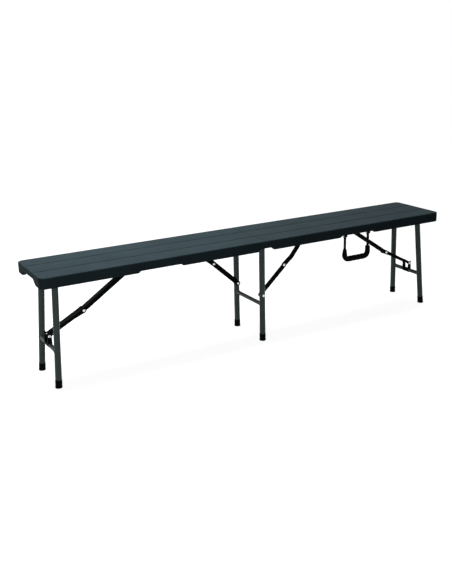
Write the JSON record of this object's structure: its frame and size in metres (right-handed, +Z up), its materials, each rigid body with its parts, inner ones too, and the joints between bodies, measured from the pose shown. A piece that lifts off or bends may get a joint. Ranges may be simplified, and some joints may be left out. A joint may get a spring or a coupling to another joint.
{
  "type": "folding bench",
  "caption": "Portable bench with a hollow plastic seat that folds at the middle, folding tubular end legs, fixed middle legs, hinged stays and a carry handle.",
  "frame": {"origin": "on the floor under the centre of the bench", "axes": "+Z up, +X along the bench towards the half with the carry handle, -Y towards the front edge that the handle hangs from"},
  "size_m": [1.83, 0.28, 0.43],
  "materials": {
    "seat_plastic": "blow-moulded polyethylene, fine satin grain",
    "frame_paint": "satin powder coat, dark green-grey",
    "foot_plastic": "black moulded foot",
    "handle_plastic": "black moulded grip",
    "zinc": "bright zinc plate"
  },
  "bodies": {
    "middle_frame": {"middle_back_foot": "foot_plastic", "middle_back_hinge_plate": "frame_paint", "middle_back_leg": "frame_paint", "middle_crossbar": "frame_paint", "middle_front_foot": "foot_plastic", "middle_front_hinge_plate": "frame_paint", "middle_front_leg": "frame_paint", "middle_stay_rivets": "zinc", "middle_top_bar": "frame_paint"},
    "left_half": {"left_seat_panel": "seat_plastic", "left_hinge_brackets": "frame_paint", "left_hinge_pins": "zinc", "left_axle_saddles": "frame_paint", "left_panel_screws": "zinc", "left_end_stay_top_bracket": "frame_paint", "left_stay_pins": "zinc", "left_middle_stay_bracket": "frame_paint"},
    "left_end_legs": {"left_end_axle": "frame_paint", "left_end_front_leg": "frame_paint", "left_end_back_leg": "frame_paint", "left_end_front_foot": "foot_plastic", "left_end_back_foot": "foot_plastic", "left_end_crossbar": "frame_paint", "left_end_stay_foot_bracket": "frame_paint", "left_end_stay_foot_rivets": "zinc"},
    "left_end_stay_upper_link": {"left_end_stay_upper": "frame_paint"},
    "left_end_stay_lower_link": {"left_end_stay_lower": "frame_paint", "left_end_stay_elbow_rivet": "zinc"},
    "left_middle_stay_lower_link": {"left_middle_stay_lower": "frame_paint", "left_middle_stay_elbow_rivet": "zinc"},
    "left_middle_stay_upper_link": {"left_middle_stay_upper": "frame_paint", "left_middle_stay_upper_rivet": "zinc"},
    "right_half": {"right_seat_panel": "seat_plastic", "right_hinge_brackets": "frame_paint", "right_hinge_pins": "zinc", "right_axle_saddles": "frame_paint", "right_panel_screws": "zinc", "right_end_stay_top_bracket": "frame_paint", "right_stay_pins": "zinc", "right_middle_stay_bracket": "frame_paint", "handle_brackets": "frame_paint", "handle_pins": "zinc"},
    "right_end_legs": {"right_end_axle": "frame_paint", "right_end_front_leg": "frame_paint", "right_end_back_leg": "frame_paint", "right_end_front_foot": "foot_plastic", "right_end_back_foot": "foot_plastic", "right_end_crossbar": "frame_paint", "right_end_stay_foot_bracket": "frame_paint", "right_end_stay_foot_rivets": "zinc"},
    "right_end_stay_upper_link": {"right_end_stay_upper": "frame_paint"},
    "right_end_stay_lower_link": {"right_end_stay_lower": "frame_paint", "right_end_stay_elbow_rivet": "zinc"},
    "right_middle_stay_lower_link": {"right_middle_stay_lower": "frame_paint", "right_middle_stay_elbow_rivet": "zinc"},
    "right_middle_stay_upper_link": {"right_middle_stay_upper": "frame_paint", "right_middle_stay_upper_rivet": "zinc"},
    "carry_handle": {"handle_bail": "frame_paint", "handle_grip": "handle_plastic"}
  },
  "joints": [
    {"name": "right_fold", "type": "hinge", "parent": "middle_frame", "child": "right_half", "pos_m": [0.022, 0, 0.4], "axis": [0, 1, 0], "range_deg": [0, 90]},
    {"name": "right_leg_fold", "type": "hinge", "parent": "right_half", "child": "right_end_legs", "pos_m": [0.845, 0, 0.397], "axis": [0, 1, 0], "range_deg": [0, 93.76]},
    {"name": "right_end_stay_top", "type": "hinge", "parent": "right_half", "child": "right_end_stay_upper_link", "pos_m": [0.474, 0, 0.411], "axis": [0, 1, 0], "range_deg": [-33.59, 0]},
    {"name": "right_end_stay_elbow", "type": "hinge", "parent": "right_end_stay_upper_link", "child": "right_end_stay_lower_link", "pos_m": [0.72505, 0, 0.24432], "axis": [0, 1, 0], "range_deg": [0, 179.29]},
    {"name": "right_middle_stay_top", "type": "hinge", "parent": "right_half", "child": "right_middle_stay_upper_link", "pos_m": [0.204, 0, 0.404], "axis": [0, 1, 0], "range_deg": [0, 44.32]},
    {"name": "right_middle_stay_foot", "type": "hinge", "parent": "middle_frame", "child": "right_middle_stay_lower_link", "pos_m": [0, 0, 0.196], "axis": [0, 1, 0], "range_deg": [-42.65, 0]},
    {"name": "left_fold", "type": "hinge", "parent": "middle_frame", "child": "left_half", "pos_m": [-0.022, 0, 0.4], "axis": [0, -1, 0], "range_deg": [0, 90]},
    {"name": "left_leg_fold", "type": "hinge", "parent": "left_half", "child": "left_end_legs", "pos_m": [-0.845, 0, 0.397], "axis": [0, -1, 0], "range_deg": [0, 93.76]},
    {"name": "left_end_stay_top", "type": "hinge", "parent": "left_half", "child": "left_end_stay_upper_link", "pos_m": [-0.474, 0, 0.411], "axis": [0, -1, 0], "range_deg": [-33.59, 0]},
    {"name": "left_end_stay_elbow", "type": "hinge", "parent": "left_end_stay_upper_link", "child": "left_end_stay_lower_link", "pos_m": [-0.72505, 0, 0.24432], "axis": [0, -1, 0], "range_deg": [0, 179.29]},
    {"name": "left_middle_stay_top", "type": "hinge", "parent": "left_half", "child": "left_middle_stay_upper_link", "pos_m": [-0.204, 0, 0.404], "axis": [0, -1, 0], "range_deg": [0, 44.32]},
    {"name": "left_middle_stay_foot", "type": "hinge", "parent": "middle_frame", "child": "left_middle_stay_lower_link", "pos_m": [0, 0, 0.196], "axis": [0, -1, 0], "range_deg": [-42.65, 0]},
    {"name": "handle_swing", "type": "hinge", "parent": "right_half", "child": "carry_handle", "pos_m": [0.4645, -0.121, 0.389], "axis": [-1, 0, 0], "range_deg": [0, 90.01]}
  ],
  "couplings": [
    {"joint": "right_leg_fold", "follows": "right_fold", "ratio": 1.0416},
    {"joint": "right_end_stay_top", "follows": "right_fold", "ratio": -0.37313},
    {"joint": "right_end_stay_elbow", "follows": "right_fold", "ratio": 1.992},
    {"joint": "right_middle_stay_top", "follows": "right_fold", "ratio": 0.49232},
    {"joint": "right_middle_stay_foot", "follows": "right_fold", "ratio": -0.47378},
    {"joint": "left_leg_fold", "follows": "left_fold", "ratio": 1.0416},
    {"joint": "left_end_stay_top", "follows": "left_fold", "ratio": -0.37313},
    {"joint": "left_end_stay_elbow", "follows": "left_fold", "ratio": 1.992},
    {"joint": "left_middle_stay_top", "follows": "left_fold", "ratio": 0.49232},
    {"joint": "left_middle_stay_foot", "follows": "left_fold", "ratio": -0.47378},
    {"joint": "handle_swing", "follows": "right_fold", "ratio": 1}
  ]
}
